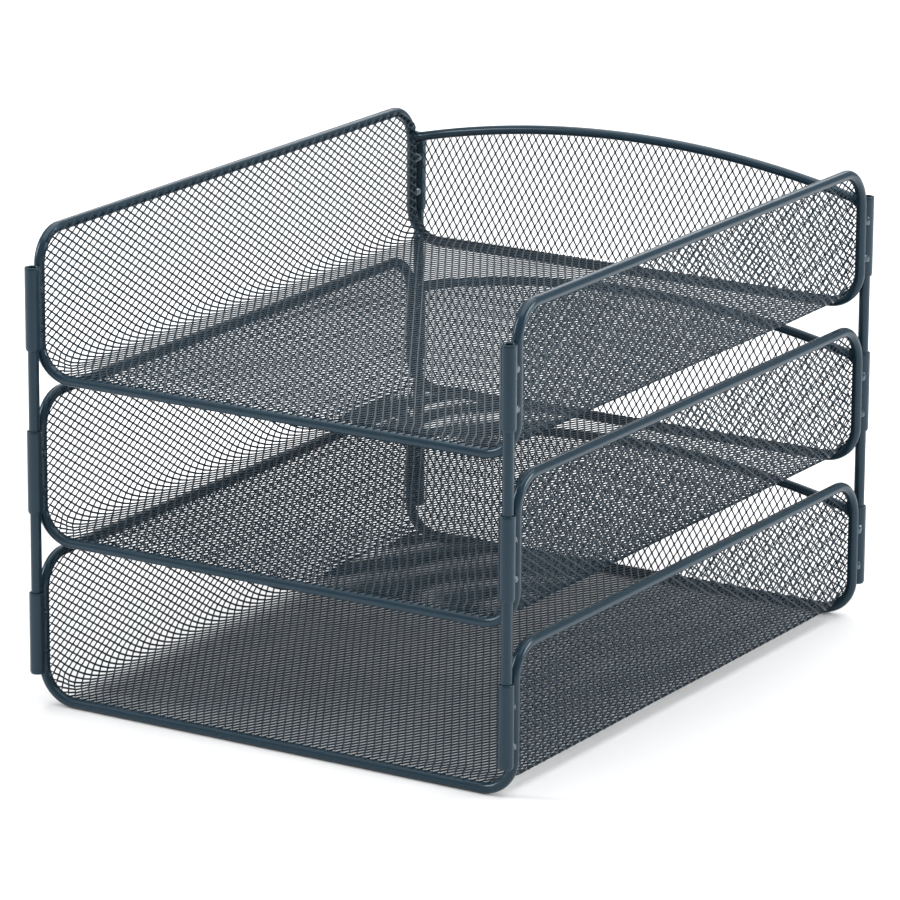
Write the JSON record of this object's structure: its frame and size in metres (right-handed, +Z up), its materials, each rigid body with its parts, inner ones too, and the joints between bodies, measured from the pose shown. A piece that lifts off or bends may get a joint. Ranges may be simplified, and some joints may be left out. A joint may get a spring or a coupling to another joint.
{
  "type": "letter tray",
  "caption": "Stacking letter tray of bent rod and expanded steel mesh: open-fronted tiers with arched backs that lift apart on corner posts.",
  "frame": {"origin": "on the floor under the middle of the stack", "axes": "+Z up, +X to the right when facing the open front, -Y out of the open front, +Y to the arched back"},
  "size_m": [0.238, 0.31, 0.2074],
  "materials": {
    "rod_coat": "satin powder coat, dark slate blue",
    "mesh_coat": "satin powder coat, dark slate blue, on expanded mesh"
  },
  "bodies": {
    "lower_tray": {"lower_frame_rod": "rod_coat", "lower_back_rail": "rod_coat", "lower_tray_mesh": "mesh_coat", "lower_back_mesh": "mesh_coat", "lower_weld_tacks": "rod_coat", "lower_sleeve_front_left": "rod_coat", "lower_sleeve_front_right": "rod_coat", "lower_sleeve_rear_left": "rod_coat", "lower_sleeve_rear_right": "rod_coat"},
    "middle_tray": {"middle_frame_rod": "rod_coat", "middle_back_rail": "rod_coat", "middle_tray_mesh": "mesh_coat", "middle_back_mesh": "mesh_coat", "middle_weld_tacks": "rod_coat", "middle_sleeve_front_left": "rod_coat", "middle_sleeve_front_right": "rod_coat", "middle_sleeve_rear_left": "rod_coat", "middle_sleeve_rear_right": "rod_coat", "middle_post_front_left": "rod_coat", "middle_post_front_right": "rod_coat", "middle_post_rear_left": "rod_coat", "middle_post_rear_right": "rod_coat"},
    "top_tray": {"top_frame_rod": "rod_coat", "top_back_rail": "rod_coat", "top_tray_mesh": "mesh_coat", "top_back_mesh": "mesh_coat", "top_weld_tacks": "rod_coat", "top_sleeve_front_left": "rod_coat", "top_sleeve_front_right": "rod_coat", "top_sleeve_rear_left": "rod_coat", "top_sleeve_rear_right": "rod_coat", "top_post_front_left": "rod_coat", "top_post_front_right": "rod_coat", "top_post_rear_left": "rod_coat", "top_post_rear_right": "rod_coat"}
  },
  "joints": [
    {"name": "middle_tray_lift", "type": "slide", "parent": "lower_tray", "child": "middle_tray", "axis": [0, 0, 1], "range_m": [0, 0.06]},
    {"name": "top_tray_lift", "type": "slide", "parent": "middle_tray", "child": "top_tray", "axis": [0, 0, 1], "range_m": [0, 0.06]}
  ]
}
